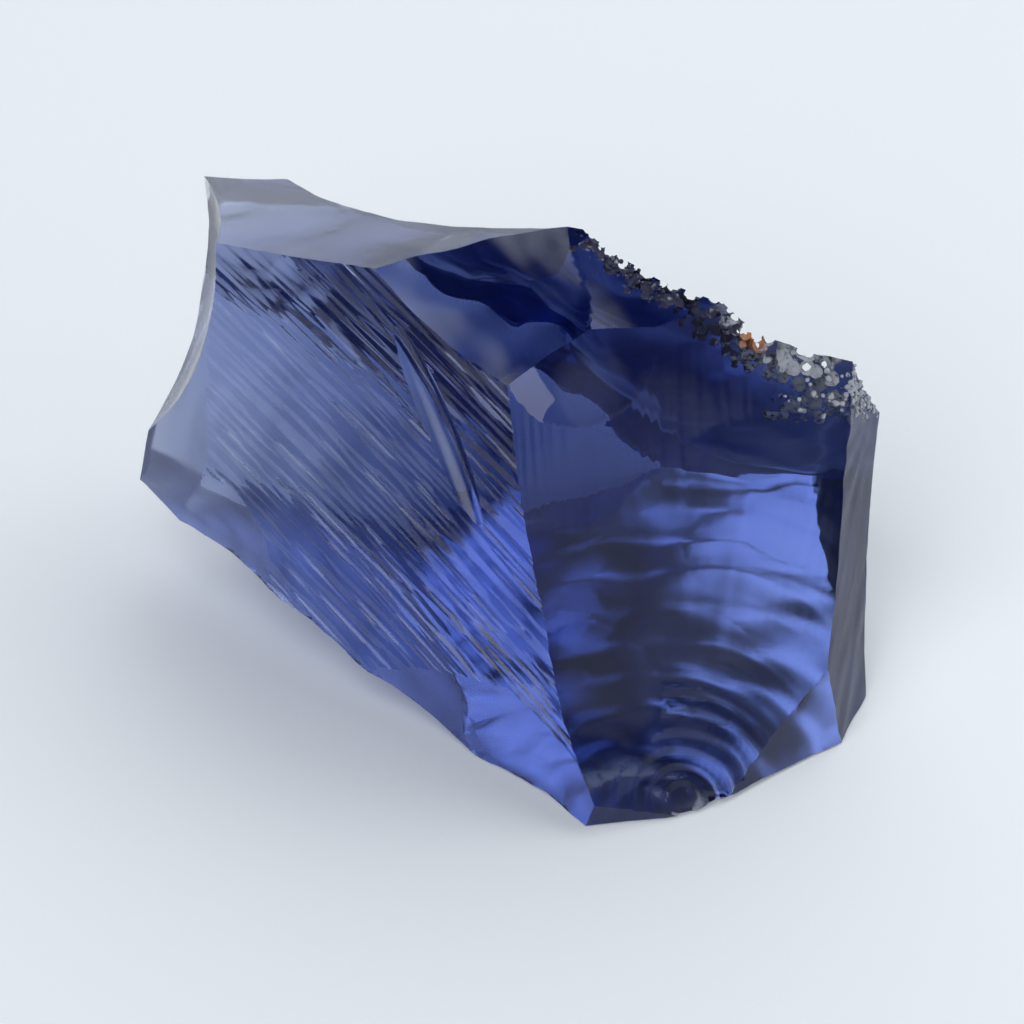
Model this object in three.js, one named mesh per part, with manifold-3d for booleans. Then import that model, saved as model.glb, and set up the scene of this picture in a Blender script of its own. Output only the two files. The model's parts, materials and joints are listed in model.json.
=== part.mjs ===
// Rough blue-violet crystal: one broken fragment of clear quartz, bounded by conchoidal fractures.
// Millimetres, +Z up, +X along the longest side, the struck front towards -Y.
// The origin lies in the flat facet that the fragment rests on.
import * as THREE from "three";
import { mergeVertices } from "three/addons/utils/BufferGeometryUtils.js";
import Module from "manifold-3d";

const wasm = await Module();
wasm.setup();

// Block that the fragment was struck from. Its underside is the resting facet.
const BLOCK_LOW = [-17, -12.4, 0];
const BLOCK_HIGH = [17, 16.5, 20.5];
const MIDDLE = [0, 2, 8];

// Corners of the fragment, where its fractures meet.
const CORNERS = {
  leftShoulder: [-12.9, 7.8, 16.8],
  leftHorn: [-13.7, 14.4, 15.1],
  leftEdge: [-13.1, 6.6, 14.3],
  leftWaist: [-13.1, 4.3, 9.2],
  spur: [-16.5, 6.4, 5.1],
  spurLow: [-16, 4.1, 4.7],
  topBack: [-9.2, 13.9, 15.7],
  rearDip: [-4.5, 9, 17.4],
  lipFront: [-6.2, 7, 17.7],
  lipBack: [-4.7, 8.9, 17.4],
  lipEnd: [0.8, 5.5, 18.8],
  crest: [-5.9, 4.5, 18.3],
  peak: [3.5, 6.6, 18.8],
  saddle: [7.7, 4, 17.3],
  crestEnd: [14.6, 3.1, 13.8],
  ridgeHead: [-0.2, -0.6, 15.6],
  notchFoot: [3.3, -0.5, 13.1],
  notchSide: [6.1, 2.3, 16.1],
  columnSide: [5.9, -7.2, 3.5],
  columnHead: [2.6, -5.8, 6.6],
  columnFoot: [4.3, -9.9, 1.8],
  hollowHead: [14.8, 2.4, 12.7],
  hollowSide: [7.7, -0.4, 10.8],
  hollowFoot: [14.1, -4.5, 3.9],
  tip: [3.4, -11.3, 1.1],
  tipFoot: [5.5, -11, 0],
  blow: [7.6, -10.8, 1.1],
  toe: [13.9, -5.3, 2.4],
  heel: [14.7, -5.8, 0.1],
  rightShoulder: [14.7, 2.5, 13],
  rightHorn: [16.2, 4.7, 10.9],
  rightFoot: [15.9, -3.7, 1],
  chamferHead: [-3.1, -4.9, 3.3],
  chamferTip: [2.9, -10, 2.6],
  chamferFoot: [-1.4, -7, 0],
  keelFoot: [-2.5, 8, 0],
  scarLeft: [-16, 4.4, 5.2],
  scarRight: [-12, 2.7, 6.7],
  scarFoot: [-12.8, 1.9, 3],
  chipLeft: [0.1, 5.2, 18.6],
  chipFoot: [2.1, 2, 16.8],
  chipRight: [5.7, 2.5, 16.4],
  leftBackFoot: [-12.5, 15.5, 5],
  rearHollowLeft: [-5.5, 12.5, 11],
  rearHollowRight: [0.5, 11.5, 9],
  backFoot: [-3, 14.5, 2],
  rightBackFoot: [8, 13, 2],
  sideBackFoot: [13.5, 10, 3],
  scoopFoot: [-5, 9, 0],
  scoopRight: [3.6, 14, 2],
  scoopLeft: [-14, 11.9, 7],
};

// Fractures: each is a shallow dish through three corners, sunk by its sag below their plane.
// Rings spread over it from the blow that split it.
const FRACTURES = [
  { through: ["leftShoulder", "tip", "ridgeHead"], sag: 1.2, blow: [-40, 20, 30] },
  { through: ["ridgeHead", "tip", "rightShoulder"], sag: 1.2, blow: "blow", ripple: 0.07 },
  { through: ["hollowHead", "hollowSide", "hollowFoot"], sag: 0.5, blow: "blow" },
  { through: ["crest", "ridgeHead", "peak"], sag: 0.8, blow: "peak" },
  { through: ["ridgeHead", "notchFoot", "notchSide"], sag: 0.6, blow: "notchSide" },
  { through: ["chipLeft", "chipFoot", "chipRight"], sag: 0.35, blow: "peak" },
  { through: ["leftShoulder", "peak", "topBack"], sag: 0.3, blow: "leftHorn" },
  { through: ["lipBack", "lipFront", "lipEnd"], sag: 0.35, blow: "peak" },
  { through: ["leftHorn", "leftShoulder", "leftEdge"], sag: 0.6, blow: "leftHorn" },
  { through: ["leftEdge", "leftWaist", "spur"], sag: 0.2, blow: "leftEdge" },
  { through: ["scarLeft", "scarRight", "scarFoot"], sag: 0.3, blow: "spurLow" },
  { through: ["chamferHead", "chamferFoot", "chamferTip"], sag: 0.3, blow: "tip" },
  { through: ["spurLow", "chamferFoot", "keelFoot"], sag: 0.5, blow: "spurLow" },
  { through: ["tip", "blow", "tipFoot"], sag: 0.1, blow: "tip" },
  { through: ["columnSide", "columnHead", "columnFoot"], sag: 0.3, blow: "tip" },
  { through: ["blow", "heel", "toe"], sag: 0.2, blow: "heel" },
  { through: ["rightShoulder", "toe", "rightHorn"], sag: 0.2, blow: "rightHorn" },
  { through: ["rightHorn", "rightFoot", "sideBackFoot"], sag: 0.4, blow: "rightHorn" },
  { through: ["peak", "crestEnd", "rightBackFoot"], sag: 3, blow: "peak" },
  { through: ["topBack", "rearDip", "rearHollowLeft"], sag: 0.8, blow: "topBack" },
  { through: ["rearDip", "peak", "rearHollowRight"], sag: 0.9, blow: "peak" },
  { through: ["topBack", "backFoot", "rightBackFoot"], sag: 0.6, blow: "backFoot" },
  { through: ["leftHorn", "topBack", "leftBackFoot"], sag: 0.3, blow: "topBack" },
  { through: ["leftHorn", "spur", "leftBackFoot"], sag: 0.6, blow: "leftHorn" },
  { through: ["scoopFoot", "scoopRight", "scoopLeft"], sag: 1, blow: "scoopFoot" },
];

// Grain of the dishes: distance between rings, how far they reach, and lines around the blow.
const RING_STEP = 1.8;
const RING_REACH = 80;
const RAYS = 54;
const FAR_RINGS = 6;

// Ripples close around a blow.
const RIPPLE_STEP = 0.2;
const RIPPLE_SPACING = 0.8;
const RIPPLE_REACH = 5.6;

// Long thin flake split off the left face.
const FLAKE = { head: [-4.9, 2.8, 16], foot: [-1.4, -2.6, 9.6], width: 1.4, depth: 0.35 };

// Crumbly weathered skin: pits strung along the right-hand crest.
const PIT_ROUTE = ["peak", "saddle", "crestEnd", "rightHorn"];
const PIT_COUNT = 40;
const PIT_RADIUS = { least: 0.25, most: 0.6 };
const PIT_SCATTER = 0.5;

const vec = (p) => new THREE.Vector3(...(typeof p === "string" ? CORNERS[p] : p));

// A closed three.js geometry as a solid.
function solidOf(geometry) {
  const bare = geometry.clone();
  bare.deleteAttribute("normal");
  bare.deleteAttribute("uv");
  const merged = mergeVertices(bare, 1e-4);
  const corners = merged.index.array;
  const kept = [];
  for (let i = 0; i < corners.length; i += 3) {
    const [a, b, c] = corners.slice(i, i + 3);
    if (a !== b && b !== c && c !== a) kept.push(a, b, c);
  }
  return new wasm.Manifold(
    new wasm.Mesh({
      numProp: 3,
      vertProperties: merged.attributes.position.array,
      triVerts: new Uint32Array(kept),
    }),
  );
}

// The sphere that dips by sag below the plane of three points, on the outer side of that plane.
function dishSphere(points, sag) {
  const [a, b, c] = points.map(vec);
  const ab = b.clone().sub(a);
  const ac = c.clone().sub(a);
  const cross = ab.clone().cross(ac);
  const toMiddle = cross
    .clone()
    .cross(ab)
    .multiplyScalar(ac.lengthSq())
    .add(ac.clone().cross(cross).multiplyScalar(ab.lengthSq()))
    .divideScalar(2 * cross.lengthSq());
  const outward = cross.clone().normalize();
  if (outward.dot(a.clone().sub(vec(MIDDLE))) < 0) outward.negate();
  const radius = (toMiddle.lengthSq() + sag * sag) / (2 * sag);
  const centre = a.clone().add(toMiddle).addScaledVector(outward, radius - sag);
  return { centre, radius };
}

// Arc lengths of a dish's rings, from the blow outwards.
function ringArcs(ripple) {
  const arcs = [];
  const reach = ripple ? RIPPLE_REACH : 0;
  for (let arc = 0; arc < reach; arc += RIPPLE_STEP) arcs.push(arc);
  for (let arc = reach; arc < RING_REACH; arc += RING_STEP) arcs.push(arc);
  return arcs;
}

// Height of the ripples at an arc length from the blow. They die out at their reach.
function rippleHeight(arc, ripple) {
  if (arc >= RIPPLE_REACH) return 0;
  const fade = Math.sin((Math.PI * arc) / RIPPLE_REACH);
  return ripple * fade * Math.sin((2 * Math.PI * arc) / RIPPLE_SPACING);
}

// A dish cutter, turned so that its pole lies at the blow.
function dishCutter({ through, sag, blow, ripple = 0 }) {
  const { centre, radius } = dishSphere(through, sag);
  const profile = [];
  const addRing = (angle, height) => {
    const reach = radius + height;
    profile.push(new THREE.Vector2(reach * Math.sin(angle), reach * Math.cos(angle)));
  };
  const arcs = ringArcs(ripple).filter((arc) => arc < radius * Math.PI * 0.8);
  for (const arc of arcs) addRing(arc / radius, rippleHeight(arc, ripple));
  const last = arcs[arcs.length - 1] / radius;
  for (let i = 1; i <= FAR_RINGS; i++) addRing(last + ((Math.PI - last) * i) / FAR_RINGS, 0);
  profile[profile.length - 1].x = 0;
  profile.reverse();
  const geometry = new THREE.LatheGeometry(profile, RAYS);
  const pole = vec(blow).sub(centre).normalize();
  geometry.applyQuaternion(
    new THREE.Quaternion().setFromUnitVectors(new THREE.Vector3(0, 1, 0), pole),
  );
  geometry.translate(...centre);
  return solidOf(geometry);
}

// A long lens that bites into a fracture between two points of it.
function flakeCutter({ head, foot, width, depth }, { through, sag }) {
  const middle = vec(head).lerp(vec(foot), 0.5);
  const along = vec(foot).sub(vec(head));
  const outward = dishSphere(through, sag).centre.sub(middle).normalize();
  const across = outward.clone().cross(along).normalize();
  const thickness = 3 * depth;
  const bite = Math.sqrt(1 - ((thickness - depth) / thickness) ** 2);
  const place = new THREE.Matrix4().makeBasis(
    along.clone().multiplyScalar(0.5 / bite),
    across.multiplyScalar(width / 2 / bite),
    outward.clone().multiplyScalar(thickness),
  );
  place.setPosition(middle.addScaledVector(outward, thickness - depth));
  return solidOf(new THREE.SphereGeometry(1, 24, 14).applyMatrix4(place));
}

// Pits along a route, spread by turns of the golden section so that none repeats.
function pitCutters() {
  const route = new THREE.CatmullRomCurve3(PIT_ROUTE.map(vec));
  const golden = (Math.sqrt(5) - 1) / 2;
  return Array.from({ length: PIT_COUNT }, (_, i) => {
    const turn = i * golden;
    const radius = THREE.MathUtils.lerp(PIT_RADIUS.least, PIT_RADIUS.most, (turn * turn) % 1);
    const offset = new THREE.Vector3().setFromSphericalCoords(
      PIT_SCATTER,
      Math.acos(1 - 2 * ((turn * golden) % 1)),
      2 * Math.PI * turn,
    );
    const at = route.getPointAt((i + 0.5) / PIT_COUNT).add(offset);
    return solidOf(new THREE.IcosahedronGeometry(radius, 1).translate(...at));
  });
}

function block() {
  const low = vec(BLOCK_LOW);
  const high = vec(BLOCK_HIGH);
  const size = high.clone().sub(low);
  const middle = low.clone().add(high).divideScalar(2);
  return solidOf(new THREE.BoxGeometry(...size).translate(...middle));
}

function fragment() {
  let stone = block();
  for (const fracture of FRACTURES) stone = stone.subtract(dishCutter(fracture));
  stone = stone.subtract(flakeCutter(FLAKE, FRACTURES[0]));
  for (const pit of pitCutters()) stone = stone.subtract(pit);
  const pieces = stone.decompose();
  return pieces.sort((a, b) => b.volume() - a.volume())[0];
}

function geometryOf(solid) {
  const mesh = solid.getMesh();
  return new THREE.BufferGeometry()
    .setAttribute("position", new THREE.BufferAttribute(mesh.vertProperties, 3))
    .setIndex(new THREE.BufferAttribute(mesh.triVerts, 1));
}

const crystal = new THREE.Mesh(
  geometryOf(fragment()),
  new THREE.MeshStandardMaterial({ color: 0x4a55a0, roughness: 0.05, metalness: 0 }),
);
crystal.name = "crystal";

const part = new THREE.Group();
part.add(crystal);

export default part;
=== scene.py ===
import bpy
import json
import math
import random
from mathutils import Matrix, Vector, noise

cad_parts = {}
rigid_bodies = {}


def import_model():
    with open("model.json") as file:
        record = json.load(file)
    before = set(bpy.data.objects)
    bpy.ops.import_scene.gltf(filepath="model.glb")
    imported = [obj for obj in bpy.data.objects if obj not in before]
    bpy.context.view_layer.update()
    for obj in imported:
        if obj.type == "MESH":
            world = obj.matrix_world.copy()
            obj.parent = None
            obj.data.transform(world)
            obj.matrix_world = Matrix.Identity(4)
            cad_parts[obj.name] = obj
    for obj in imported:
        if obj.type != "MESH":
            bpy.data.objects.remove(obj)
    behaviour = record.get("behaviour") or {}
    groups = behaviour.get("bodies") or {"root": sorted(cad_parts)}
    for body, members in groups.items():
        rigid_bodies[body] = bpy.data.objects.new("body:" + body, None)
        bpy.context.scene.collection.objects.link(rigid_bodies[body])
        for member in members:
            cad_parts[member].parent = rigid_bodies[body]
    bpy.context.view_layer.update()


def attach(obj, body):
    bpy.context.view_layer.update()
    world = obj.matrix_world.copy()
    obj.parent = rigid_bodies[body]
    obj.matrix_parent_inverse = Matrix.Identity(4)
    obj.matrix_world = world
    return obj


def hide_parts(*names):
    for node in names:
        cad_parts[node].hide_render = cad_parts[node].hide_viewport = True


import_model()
mm = 0.001

# corners where the fractures meet, in millimetres, as in the solid
corners = dict(
    leftShoulder=(-12.9, 7.8, 16.8),
    leftHorn=(-13.7, 14.4, 15.1),
    leftEdge=(-13.1, 6.6, 14.3),
    leftWaist=(-13.1, 4.3, 9.2),
    spur=(-16.5, 6.4, 5.1),
    spurLow=(-16, 4.1, 4.7),
    topBack=(-9.2, 13.9, 15.7),
    rearDip=(-4.5, 9, 17.4),
    lipFront=(-6.2, 7, 17.7),
    lipBack=(-4.7, 8.9, 17.4),
    lipEnd=(0.8, 5.5, 18.8),
    crest=(-5.9, 4.5, 18.3),
    peak=(3.5, 6.6, 18.8),
    saddle=(7.7, 4, 17.3),
    crestEnd=(14.6, 3.1, 13.8),
    ridgeHead=(-0.2, -0.6, 15.6),
    notchFoot=(3.3, -0.5, 13.1),
    notchSide=(6.1, 2.3, 16.1),
    columnSide=(5.9, -7.2, 3.5),
    columnHead=(2.6, -5.8, 6.6),
    columnFoot=(4.3, -9.9, 1.8),
    hollowHead=(14.8, 2.4, 12.7),
    hollowSide=(7.7, -0.4, 10.8),
    hollowFoot=(14.1, -4.5, 3.9),
    tip=(3.4, -11.3, 1.1),
    tipFoot=(5.5, -11, 0),
    blow=(7.6, -10.8, 1.1),
    toe=(13.9, -5.3, 2.4),
    heel=(14.7, -5.8, 0.1),
    rightShoulder=(14.7, 2.5, 13),
    rightHorn=(16.2, 4.7, 10.9),
    rightFoot=(15.9, -3.7, 1),
    chamferHead=(-3.1, -4.9, 3.3),
    chamferTip=(2.9, -10, 2.6),
    chamferFoot=(-1.4, -7, 0),
    keelFoot=(-2.5, 8, 0),
    scarLeft=(-16, 4.4, 5.2),
    scarRight=(-12, 2.7, 6.7),
    scarFoot=(-12.8, 1.9, 3),
    chipLeft=(0.1, 5.2, 18.6),
    chipFoot=(2.1, 2, 16.8),
    chipRight=(5.7, 2.5, 16.4),
    leftBackFoot=(-12.5, 15.5, 5),
    rearHollowLeft=(-5.5, 12.5, 11),
    rearHollowRight=(0.5, 11.5, 9),
    backFoot=(-3, 14.5, 2),
    rightBackFoot=(8, 13, 2),
    sideBackFoot=(13.5, 10, 3),
    scoopFoot=(-5, 9, 0),
    scoopRight=(3.6, 14, 2),
    scoopLeft=(-14, 11.9, 7),
    baseBack=(9, 10, 0),
    farBlow=(-40, 20, 30),
)
middle = Vector((0, 2, 8))

# how each fracture broke: rings run round the blow, hackles run away from it, both in millimetres
plain = dict(cell=(0.25, 0.25), swell=0.05, swellSize=3.0, rings=0.03, ringSpacing=1.1, ringReach=9,
             hackles=0.02, hackleWidth=0.5, hackleFrom=0, hackleTo=1, grain=0.002, frost=0.04)
uneven = dict(cell=(0.3, 0.3), swell=0.25, swellSize=3.5, rings=0.12, ringSpacing=2.4, ringReach=40,
              frost=0.2)
frosted = {**uneven, "frost": 0.45}
scooped = {**uneven, "swell": 0.5, "swellSize": 3.2, "rings": 0.2, "frost": 0.4}
fractures = dict(
    hackleFace=dict(through=("leftShoulder", "tip", "ridgeHead"), sag=1.2, blow="farBlow", cell=(0.3, 0.09),
                    hackles=0.17, hackleWidth=0.38, hackleFrom=22, hackleTo=46, rings=0, frost=0.1),
    rippleDish=dict(through=("ridgeHead", "tip", "rightShoulder"), sag=1.2, blow="blow", cell=(0.13, 0.13),
                    rings=0.14, ringSpacing=0.8, ringReach=8, hackles=0.06, hackleWidth=0.42, hackleFrom=11,
                    hackleTo=17),
    hollow=dict(through=("hollowHead", "hollowSide", "hollowFoot"), sag=0.5, blow="blow", cell=(0.16, 0.16),
                rings=0.05, ringSpacing=1.3, ringReach=20),
    notch=dict(through=("crest", "ridgeHead", "peak"), sag=0.8, blow="peak", swell=0.1, swellSize=2),
    notchChip=dict(through=("ridgeHead", "notchFoot", "notchSide"), sag=0.6, blow="notchSide"),
    peakChip=dict(through=("chipLeft", "chipFoot", "chipRight"), sag=0.35, blow="peak"),
    top=dict(through=("leftShoulder", "peak", "topBack"), sag=0.3, blow="leftHorn", frost=0.15),
    lip=dict(through=("lipBack", "lipFront", "lipEnd"), sag=0.35, blow="peak", frost=0.12),
    leftHollow=dict(through=("leftHorn", "leftShoulder", "leftEdge"), sag=0.6, blow="leftHorn"),
    leftFacet=dict(through=("leftEdge", "leftWaist", "spur"), sag=0.2, blow="leftEdge", frost=0.2),
    scar=dict(through=("scarLeft", "scarRight", "scarFoot"), sag=0.3, blow="spurLow"),
    chamfer=dict(through=("chamferHead", "chamferFoot", "chamferTip"), sag=0.3, blow="tip"),
    keel=dict(through=("spurLow", "chamferFoot", "keelFoot"), sag=0.5, blow="spurLow", **frosted),
    tipFacet=dict(through=("tip", "blow", "tipFoot"), sag=0.1, blow="tip"),
    column=dict(through=("columnSide", "columnHead", "columnFoot"), sag=0.3, blow="tip"),
    heelFacet=dict(through=("blow", "heel", "toe"), sag=0.2, blow="heel", frost=0.18, hackles=0.06),
    rightFacet=dict(through=("rightShoulder", "toe", "rightHorn"), sag=0.2, blow="rightHorn", frost=0.2,
                    hackles=0.14, hackleWidth=0.6),
    rightBack=dict(through=("rightHorn", "rightFoot", "sideBackFoot"), sag=0.4, blow="rightHorn"),
    crestBack=dict(through=("peak", "crestEnd", "rightBackFoot"), sag=3, blow="peak", **uneven),
    rearLeft=dict(through=("topBack", "rearDip", "rearHollowLeft"), sag=0.8, blow="topBack", **uneven),
    rearRight=dict(through=("rearDip", "peak", "rearHollowRight"), sag=0.9, blow="peak", **uneven),
    back=dict(through=("topBack", "backFoot", "rightBackFoot"), sag=0.6, blow="backFoot", **uneven),
    leftEnd=dict(through=("leftHorn", "topBack", "leftBackFoot"), sag=0.3, blow="topBack"),
    leftBack=dict(through=("leftHorn", "spur", "leftBackFoot"), sag=0.6, blow="leftHorn", **frosted),
    rearScoop=dict(through=("scoopFoot", "scoopRight", "scoopLeft"), sag=1, blow="scoopFoot", **scooped),
    base=dict(through=("tipFoot", "baseBack", "chamferFoot"), sag=0.12, blow="tipFoot", **uneven),
)
block = dict(low=(-17, -12.4, 0), high=(17, 16.5, 20.5), spare=0.2)  # spare is left on for the fine cuts
flake = dict(face="hackleFace", head=(-4.9, 2.8, 16), foot=(-1.4, -2.6, 9.6), width=1.6, depth=0.5)
ringShape = dict(peak=0.75, wander=0.35, wanderSize=2.5, fade=0.7, start=0.8, patch=0.45, patchSize=1.8)
hackleShape = dict(nearest=6, length=9, fineLength=5, fineTimes=2.3, fineShare=0.35, level=0.2)
grainSize = 0.3
patch = dict(near=0.3, steepest=0.3, margin=1.5, fewestCells=4, rise=3, riseShare=1.6)  # a fine cutter's extent
roundness = dict(segments=96, ring_count=48)
smoothAngle = 28

# weathered pits and crumbs along the crest
skin = dict(
    crestPits=dict(route=("peak", "saddle"), count=80, size=(0.12, 0.35), bite=(0.04, 0.12), spread=0.6),
    crestCrumbs=dict(route=("peak", "saddle"), count=90, size=(0.05, 0.12), bite=(0.05, 0.09), spread=0.6,
                     raised=True),
    endPits=dict(route=("saddle", "crestEnd", "rightHorn"), count=130, size=(0.12, 0.38), bite=(0.05, 0.14),
                 spread=0.8),
    endCrumbs=dict(route=("crestEnd", "rightShoulder", "rightHorn"), count=200, size=(0.05, 0.15),
                   bite=(0.05, 0.1), spread=0.9, raised=True),
)
crumble = dict(seed=5, lumps=0.4, lumpShift=7, startOff=3)


def corner(name):
    return Vector(corners[name])


def activate(piece):
    bpy.ops.object.select_all(action="DESELECT")
    piece.select_set(True)
    bpy.context.view_layer.objects.active = piece


def applyModifier(piece, kind, **settings):
    activate(piece)
    modifier = piece.modifiers.new(kind.title(), kind)
    for key, value in settings.items():
        setattr(modifier, key, value)
    bpy.ops.object.modifier_apply(modifier=modifier.name)


def newPiece(name, add, **settings):  # a primitive at the origin
    bpy.ops.object.select_all(action="DESELECT")
    add(**settings)
    piece = bpy.context.object
    piece.name = name
    return piece


def cutAway(stone, other):
    applyModifier(stone, "BOOLEAN", operation="DIFFERENCE", solver="MANIFOLD", object=other)
    bpy.data.objects.remove(other, do_unlink=True)


def dishSphere(through, sag):  # the sphere that dips by sag below the plane of three corners
    a, b, c = [corner(name) for name in through]
    ab, ac = b - a, c - a
    cross = ab.cross(ac)
    toMiddle = cross.cross(ab) * ac.length_squared + ac.cross(cross) * ab.length_squared
    toMiddle = toMiddle / (2 * cross.length_squared)
    outward = cross.normalized()
    if outward.dot(a - middle) < 0:
        outward.negate()
    radius = (toMiddle.length_squared + sag * sag) / (2 * sag)
    return a + toMiddle + outward * (radius - sag), radius


spheres = {name: dishSphere(fracture["through"], fracture["sag"]) for name, fracture in fractures.items()}


def standsOff(point):  # how far a point lies outside the stone, below zero inside it
    return max(radius - (point - centre).length for centre, radius in spheres.values())


def nearestFracture(point):
    return min(spheres, key=lambda name: abs((point - spheres[name][0]).length - spheres[name][1]))


def ontoStone(point):  # moves a point towards the middle until it meets the surface
    low, high = 0.0, 1.0
    for _ in range(24):
        half = (low + high) / 2
        if standsOff(point.lerp(middle, half)) > 0:
            low = half
        else:
            high = half
    return point.lerp(middle, high)


def roughCutter(name):
    centre, radius = spheres[name]
    ball = newPiece("roughCutter", bpy.ops.mesh.primitive_uv_sphere_add, radius=radius - block["spare"],
                    **roundness)
    ball.data.transform(Matrix.Translation(centre))
    return ball


def tooth(x):  # a lopsided wave between -0.5 and 0.5
    x = x % 1
    peak = ringShape["peak"]
    return (x / peak if x < peak else (1 - x) / (1 - peak)) - 0.5


def reliefAt(point, blow, dish, seed):  # depth of the broken surface's relief
    away = point - blow
    arc = away.length
    turn = math.atan2(away.dot(dish["across"]), away.dot(dish["along"]))
    shift = Vector((seed * 3.7, seed * 1.9, seed * 5.3))
    depth = dish["swell"] * noise.noise(point / dish["swellSize"] + shift)
    if dish["rings"]:
        wander = ringShape["wander"] * noise.noise(point / ringShape["wanderSize"] + shift)
        fade = max(0, 1 - arc / dish["ringReach"]) ** ringShape["fade"] * min(1, arc / ringShape["start"])
        patches = noise.noise(point / ringShape["patchSize"] - shift)
        patchy = 1 - ringShape["patch"] + ringShape["patch"] * patches
        depth += dish["rings"] * fade * patchy * tooth(arc / dish["ringSpacing"] + wander)
    if dish["hackles"]:
        across = turn * max(arc, hackleShape["nearest"]) / dish["hackleWidth"]
        wideAt = Vector((across, arc / hackleShape["length"], seed))
        fineAt = Vector((across * hackleShape["fineTimes"], arc / hackleShape["fineLength"], seed + 7))
        wide = abs(noise.noise(wideAt)) - hackleShape["level"]
        fine = abs(noise.noise(fineAt)) - hackleShape["level"]
        growth = min(1, max(0, (arc - dish["hackleFrom"]) / (dish["hackleTo"] - dish["hackleFrom"])))
        share = hackleShape["fineShare"]
        depth += dish["hackles"] * growth * ((1 - share) * wide + share * fine)
    return depth + dish["grain"] * noise.noise(point / grainSize + shift)


def fineCutter(name, dish, seed, surface):
    centre, radius = spheres[name]
    reach = [p - centre for p in surface if abs((p - centre).length - radius + block["spare"]) < patch["near"]]
    outward = -sum(reach, Vector()).normalized()
    blow = centre + (corner(dish["blow"]) - centre).normalized() * radius
    along = centre - outward * radius - blow
    along = (along - outward * along.dot(outward)).normalized()
    across = outward.cross(along)
    dish.update(along=along, across=across)
    turn = Matrix((along, across, outward)).transposed()
    flat = [turn.inverted() @ p for p in reach]
    flat = [p * (-radius / p.z) for p in flat if p.z < -patch["steepest"] * radius]
    low = [min(p[i] for p in flat) - patch["margin"] for i in range(2)]
    high = [max(p[i] for p in flat) + patch["margin"] for i in range(2)]
    size = [high[i] - low[i] for i in range(2)]
    counts = [max(patch["fewestCells"], round(size[i] / dish["cell"][i])) for i in range(2)]
    cutter = newPiece(name + "Cutter", bpy.ops.mesh.primitive_grid_add, x_subdivisions=counts[0],
                      y_subdivisions=counts[1], size=1)
    place = Matrix.Translation(((low[0] + high[0]) / 2, (low[1] + high[1]) / 2, -radius))
    cutter.data.transform(place @ Matrix.Diagonal((size[0], size[1], 1, 1)))
    applyModifier(cutter, "CAST", factor=1, radius=0, use_radius_as_size=False, size=radius)
    rise = min(patch["rise"], patch["riseShare"] * min(-vertex.co.z for vertex in cutter.data.vertices))
    cutter.data.transform(Matrix.Translation(centre) @ turn.to_4x4())
    for vertex in cutter.data.vertices:
        into = (vertex.co - centre).normalized()
        vertex.co += into * reliefAt(vertex.co, blow, dish, seed)
    bpy.ops.object.mode_set(mode="EDIT")
    bpy.ops.mesh.select_all(action="SELECT")
    bpy.ops.mesh.extrude_region_move(TRANSFORM_OT_translate=dict(value=outward * rise))
    bpy.ops.mesh.select_all(action="SELECT")
    bpy.ops.mesh.normals_make_consistent(inside=False)
    bpy.ops.object.mode_set(mode="OBJECT")
    return cutter


def flakeCutter():
    head, foot = Vector(flake["head"]), Vector(flake["foot"])
    spot = (head + foot) / 2
    outward = (spheres[flake["face"]][0] - spot).normalized()
    thickness = 3 * flake["depth"]
    bite = math.sqrt(1 - ((thickness - flake["depth"]) / thickness) ** 2)
    along = (foot - head) * (0.5 / bite)
    across = outward.cross(along).normalized() * (flake["width"] / 2 / bite)
    cutter = newPiece("flakeCutter", bpy.ops.mesh.primitive_uv_sphere_add, radius=1, **roundness)
    shape = Matrix((along, across, outward * thickness)).transposed().to_4x4()
    cutter.data.transform(Matrix.Translation(spot + outward * (thickness - flake["depth"])) @ shape)
    return cutter


def ballsAlong(group, chance):  # centres and radii of small balls let into the surface along a route
    route = [corner(name) for name in group["route"]]
    lengths = [(b - a).length for a, b in zip(route, route[1:])]
    balls = []
    for _ in range(group["count"]):
        reach = chance.uniform(0, sum(lengths))
        leg = 0
        while reach > lengths[leg] and leg < len(lengths) - 1:
            reach -= lengths[leg]
            leg += 1
        spread = group["spread"]
        spot = route[leg].lerp(route[leg + 1], reach / lengths[leg])
        spot += Vector([chance.uniform(-spread, spread) for _ in range(3)])
        spot = ontoStone(spot + (spot - middle).normalized() * crumble["startOff"])
        out = (spot - middle).normalized()
        size = chance.uniform(*group["size"])
        bite = chance.uniform(*group["bite"])
        sink = bite - size if group.get("raised") else size - bite
        balls.append((spot + out * sink, size))
    return balls


def combineBalls(stone, balls, operation):  # their faces take the stone's second material
    tray = bpy.data.collections.new("tray")
    bpy.context.scene.collection.children.link(tray)
    for centre, size in balls:
        ball = newPiece("ball", bpy.ops.mesh.primitive_ico_sphere_add, subdivisions=2, radius=size)
        for vertex in ball.data.vertices:  # no ball is quite round
            vertex.co *= 1 + crumble["lumps"] * noise.noise(vertex.co / size + centre * crumble["lumpShift"])
        ball.data.transform(Matrix.Translation(centre))
        for finish in stone.data.materials:
            ball.data.materials.append(finish)
        for face in ball.data.polygons:
            face.material_index = 1
        ball.users_collection[0].objects.unlink(ball)
        tray.objects.link(ball)
    applyModifier(stone, "BOOLEAN", operation=operation, solver="MANIFOLD", operand_type="COLLECTION",
                  collection=tray)
    for ball in list(tray.objects):
        bpy.data.objects.remove(ball, do_unlink=True)
    bpy.data.collections.remove(tray)


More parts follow.
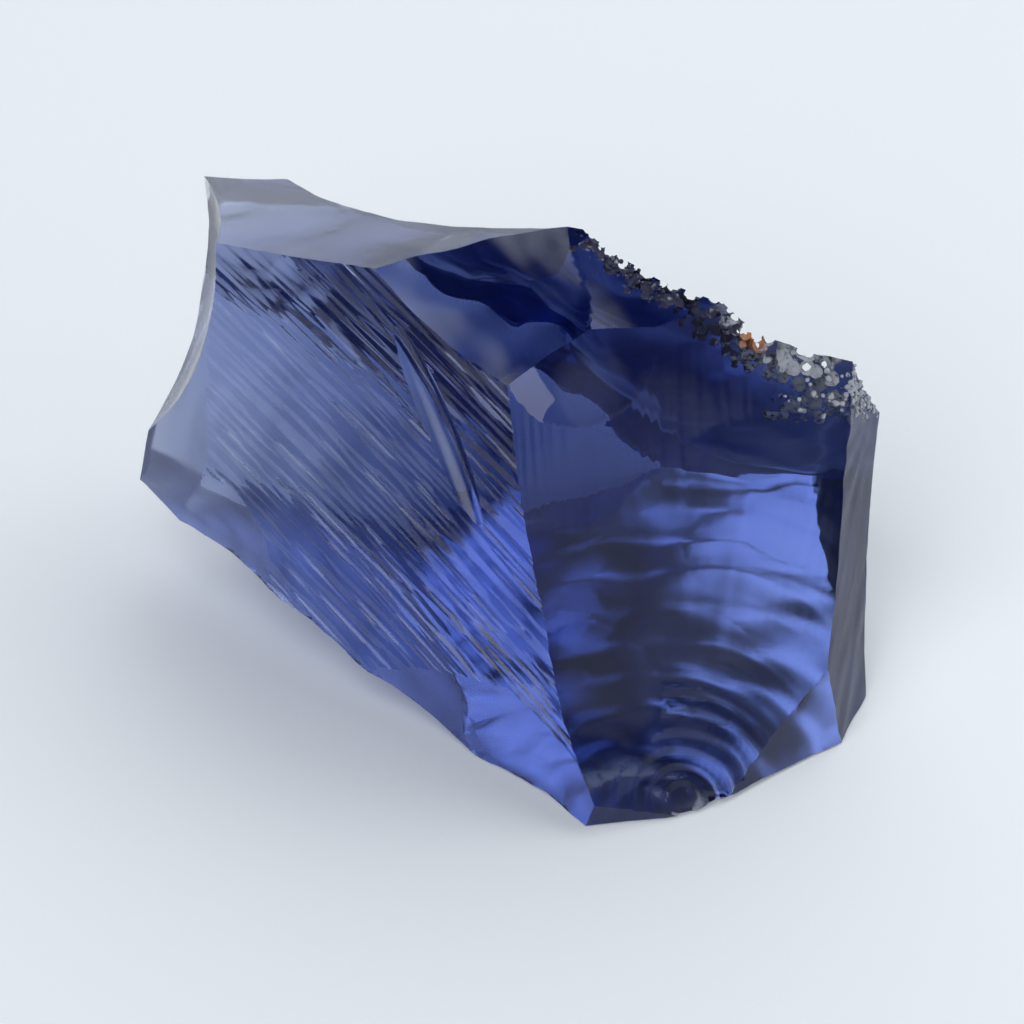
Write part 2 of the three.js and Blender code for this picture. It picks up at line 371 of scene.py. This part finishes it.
def keepLargest(stone):  # drops slivers that the cuts set free
    activate(stone)
    bpy.ops.object.mode_set(mode="EDIT")
    bpy.ops.mesh.separate(type="LOOSE")
    bpy.ops.object.mode_set(mode="OBJECT")
    parts = sorted(bpy.context.selected_objects, key=lambda part: len(part.data.polygons))
    print("loose parts", [len(part.data.polygons) for part in parts])
    for part in parts[:-1]:
        bpy.data.objects.remove(part, do_unlink=True)
    return parts[-1]


def makeStone():
    chance = random.Random(crumble["seed"])
    low, high = Vector(block["low"]), Vector(block["high"])
    stone = newPiece("roughCrystal", bpy.ops.mesh.primitive_cube_add, size=1)
    stone.data.transform(Matrix.Translation((low + high) / 2) @ Matrix.Diagonal((*(high - low), 1)))
    stone.data.materials.append(makeCrystalMaterial())
    stone.data.materials.append(makeSkinMaterial())
    for name in fractures:
        cutAway(stone, roughCutter(name))
    print("roughed out", len(stone.data.polygons), "faces")
    surface = [vertex.co.copy() for vertex in stone.data.vertices]
    for seed, (name, fracture) in enumerate(fractures.items()):
        cutAway(stone, fineCutter(name, {**plain, **fracture}, seed, surface))
        print("cut", name, len(stone.data.polygons), "faces")
    print("fractures cut", len(stone.data.polygons), "faces")
    cutAway(stone, flakeCutter())
    print("flake cut", len(stone.data.polygons), "faces")
    for group in skin.values():
        operation = "UNION" if group.get("raised") else "DIFFERENCE"
        combineBalls(stone, ballsAlong(group, chance), operation)
    print("skin weathered", len(stone.data.polygons), "faces")
    stone = keepLargest(stone)
    stone.name = "roughCrystal"
    for face in stone.data.polygons:  # the plain cutters left an empty slot
        if face.material_index > 1:
            face.material_index = 0
    while len(stone.data.materials) > 2:
        stone.data.materials.pop()
    print("weathered faces", sum(face.material_index for face in stone.data.polygons))
    frost = stone.data.attributes.new("frost", "FLOAT", "FACE")
    for face, value in zip(stone.data.polygons, frost.data):
        value.value = {**plain, **fractures[nearestFracture(face.center)]}["frost"]
    stone.data.transform(Matrix.Scale(mm, 4))
    activate(stone)
    bpy.ops.object.shade_smooth_by_angle(angle=math.radians(smoothAngle))
    return stone


# weathered skin left on the crest: dark along the middle, pale at the right end, with one rusty spot
crystalSkin = dict(dark=(0.03, 0.03, 0.07), pale=(0.4, 0.41, 0.45), rust=(0.45, 0.19, 0.08), grain=3600,
                   roughness=0.75, darkPush=-0.18, palePush=0.12, darkBelow=0.42, paleAbove=0.56,
                   paleFrom=0.008, paleTo=0.012, rustAt=(0.0104, 0.0030, 0.0152), rustSize=0.0008)


def makeSkinMaterial():
    material = bpy.data.materials.new("crystalSkin")
    material.use_nodes = True
    nodes, links = material.node_tree.nodes, material.node_tree.links
    shader = nodes["Principled BSDF"]
    shader.inputs["Roughness"].default_value = crystalSkin["roughness"]
    place = nodes.new("ShaderNodeTexCoord")
    split = nodes.new("ShaderNodeSeparateXYZ")
    links.new(place.outputs["Object"], split.inputs[0])
    grain = nodes.new("ShaderNodeTexNoise")
    grain.inputs["Scale"].default_value = crystalSkin["grain"]
    links.new(place.outputs["Object"], grain.inputs["Vector"])
    side = nodes.new("ShaderNodeMapRange")  # from the dark middle to the pale end
    side.inputs["From Min"].default_value = crystalSkin["paleFrom"]
    side.inputs["From Max"].default_value = crystalSkin["paleTo"]
    side.inputs["To Min"].default_value = crystalSkin["darkPush"]
    side.inputs["To Max"].default_value = crystalSkin["palePush"]
    links.new(split.outputs["X"], side.inputs["Value"])
    total = nodes.new("ShaderNodeMath")
    links.new(grain.outputs["Fac"], total.inputs[0])
    links.new(side.outputs[0], total.inputs[1])
    ramp = nodes.new("ShaderNodeValToRGB")
    links.new(total.outputs[0], ramp.inputs[0])
    first, last = ramp.color_ramp.elements
    first.position, first.color = crystalSkin["darkBelow"], (*crystalSkin["dark"], 1)
    last.position, last.color = crystalSkin["paleAbove"], (*crystalSkin["pale"], 1)
    far = nodes.new("ShaderNodeVectorMath")
    far.operation = "DISTANCE"
    far.inputs[1].default_value = crystalSkin["rustAt"]
    links.new(place.outputs["Object"], far.inputs[0])
    spot = nodes.new("ShaderNodeMapRange")
    spot.inputs["From Min"].default_value = crystalSkin["rustSize"]
    spot.inputs["From Max"].default_value = crystalSkin["rustSize"] / 2
    links.new(far.outputs["Value"], spot.inputs["Value"])
    mix = nodes.new("ShaderNodeMix")
    mix.data_type = "RGBA"
    mix.inputs["B"].default_value = (*crystalSkin["rust"], 1)
    links.new(spot.outputs[0], mix.inputs["Factor"])
    links.new(ramp.outputs[0], mix.inputs["A"])
    links.new(mix.outputs["Result"], shader.inputs["Base Color"])
    return material


# clear blue-violet crystal, frosted on the faces that weathered
crystalGlass = dict(tint=(0.21, 0.33, 0.67), density=205, ior=1.544)


def makeCrystalMaterial():
    material = bpy.data.materials.new("crystalGlass")
    material.use_nodes = True
    nodes, links = material.node_tree.nodes, material.node_tree.links
    shader = nodes["Principled BSDF"]
    shader.inputs["Base Color"].default_value = (1, 1, 1, 1)
    shader.inputs["Transmission Weight"].default_value = 1
    shader.inputs["IOR"].default_value = crystalGlass["ior"]
    frost = nodes.new("ShaderNodeAttribute")
    frost.attribute_name = "frost"
    links.new(frost.outputs["Fac"], shader.inputs["Roughness"])
    absorb = nodes.new("ShaderNodeVolumeAbsorption")
    absorb.inputs["Color"].default_value = (*crystalGlass["tint"], 1)
    absorb.inputs["Density"].default_value = crystalGlass["density"]
    links.new(absorb.outputs[0], nodes["Material Output"].inputs["Volume"])
    return material


# pale seamless floor, a hair below the resting facet so that the crystal keeps its own underside
table = dict(size=3, gap=0.0001, colour=(0.92, 0.92, 0.92), roughness=0.6)


def makeFloor():
    bpy.ops.object.select_all(action="DESELECT")
    bpy.ops.mesh.primitive_plane_add(size=table["size"], location=(0, 0, -table["gap"]))
    floor = bpy.context.object
    floor.name = "floor"
    material = bpy.data.materials.new("paleFloor")
    material.use_nodes = True
    shader = material.node_tree.nodes["Principled BSDF"]
    shader.inputs["Base Color"].default_value = (*table["colour"], 1)
    shader.inputs["Roughness"].default_value = table["roughness"]
    floor.data.materials.append(material)


# a plain studio: soft panels on a dim room, none of them straight overhead
room = dict(colour=(0.87, 0.93, 1), fill=0.06, fillTop=0.85, fillFade=0.2)
panels = dict(
    backPanel=dict(turn=90, rise=30, inner=10, outer=32, strength=2.2),
    rightBackPanel=dict(turn=42, rise=42, inner=10, outer=34, strength=2),
    keyPanel=dict(turn=238, rise=50, inner=10, outer=38, strength=2.65),
    dishPanel=dict(turn=312, rise=33, inner=6, outer=22, strength=0.5),
)
softboxAim = (0, 0, 0.008)
softboxes = dict(
    rightSoftbox=dict(place=(0.41, -0.02, 0.12), size=(0.34, 0.24), power=0.5),
)


def addSoftbox(name, place, size, power):
    bpy.ops.object.select_all(action="DESELECT")
    bpy.ops.object.light_add(type="AREA", location=place)
    softbox = bpy.context.object
    softbox.name = name
    softbox.data.shape = "RECTANGLE"
    softbox.data.size, softbox.data.size_y = size
    softbox.data.energy = power
    aim = Vector(softboxAim) - Vector(place)
    softbox.rotation_euler = aim.to_track_quat("-Z", "Y").to_euler()


def makeLight():
    for name, softbox in softboxes.items():
        addSoftbox(name, **softbox)
    world = bpy.data.worlds.new("room")
    bpy.context.scene.world = world
    world.use_nodes = True
    nodes, links = world.node_tree.nodes, world.node_tree.links
    place = nodes.new("ShaderNodeTexCoord")
    split = nodes.new("ShaderNodeSeparateXYZ")
    links.new(place.outputs["Generated"], split.inputs[0])
    fill = nodes.new("ShaderNodeMapRange")  # dark overhead
    fill.inputs["From Min"].default_value = room["fillTop"] - room["fillFade"]
    fill.inputs["From Max"].default_value = room["fillTop"]
    fill.inputs["To Min"].default_value = room["fill"]
    fill.inputs["To Max"].default_value = 0
    links.new(split.outputs["Z"], fill.inputs["Value"])
    total = fill.outputs[0]
    for panel in panels.values():
        turn, rise = math.radians(panel["turn"]), math.radians(panel["rise"])
        near = nodes.new("ShaderNodeVectorMath")
        near.operation = "DOT_PRODUCT"
        towards = (math.cos(rise) * math.cos(turn), math.cos(rise) * math.sin(turn), math.sin(rise))
        near.inputs[1].default_value = towards
        links.new(place.outputs["Generated"], near.inputs[0])
        glow = nodes.new("ShaderNodeMapRange")
        glow.interpolation_type = "SMOOTHSTEP"
        glow.inputs["From Min"].default_value = math.cos(math.radians(panel["outer"]))
        glow.inputs["From Max"].default_value = math.cos(math.radians(panel["inner"]))
        glow.inputs["To Max"].default_value = panel["strength"]
        links.new(near.outputs["Value"], glow.inputs["Value"])
        both = nodes.new("ShaderNodeMath")
        links.new(total, both.inputs[0])
        links.new(glow.outputs[0], both.inputs[1])
        total = both.outputs[0]
    nodes["Background"].inputs["Color"].default_value = (*room["colour"], 1)
    links.new(total, nodes["Background"].inputs["Strength"])


# the camera looks down on the front by 40 degrees
view = dict(place=(0, -0.209325, 0.183691), target=(0, -0.002493, 0.010138), distance=0.27, width=0.044,
            sensor=36, clipStart=0.001)


def makeCamera():
    camera = bpy.data.objects.new("camera", bpy.data.cameras.new("camera"))
    bpy.context.collection.objects.link(camera)
    camera.location = view["place"]
    aim = Vector(view["target"]) - Vector(view["place"])
    camera.rotation_euler = aim.to_track_quat("-Z", "Y").to_euler()
    camera.data.lens = view["sensor"] * view["distance"] / view["width"]
    camera.data.sensor_width = view["sensor"]
    camera.data.clip_start = view["clipStart"]
    bpy.context.scene.camera = camera


stone = makeStone()
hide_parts("crystal")
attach(stone, "root")
makeFloor()
makeLight()
makeCamera()
scene = bpy.context.scene
scene.view_settings.view_transform = "Standard"
bounces = dict(max_bounces=24, glossy_bounces=12, transmission_bounces=16)  # light crosses the crystal many times
for key, value in bounces.items():
    setattr(scene.cycles, key, value)
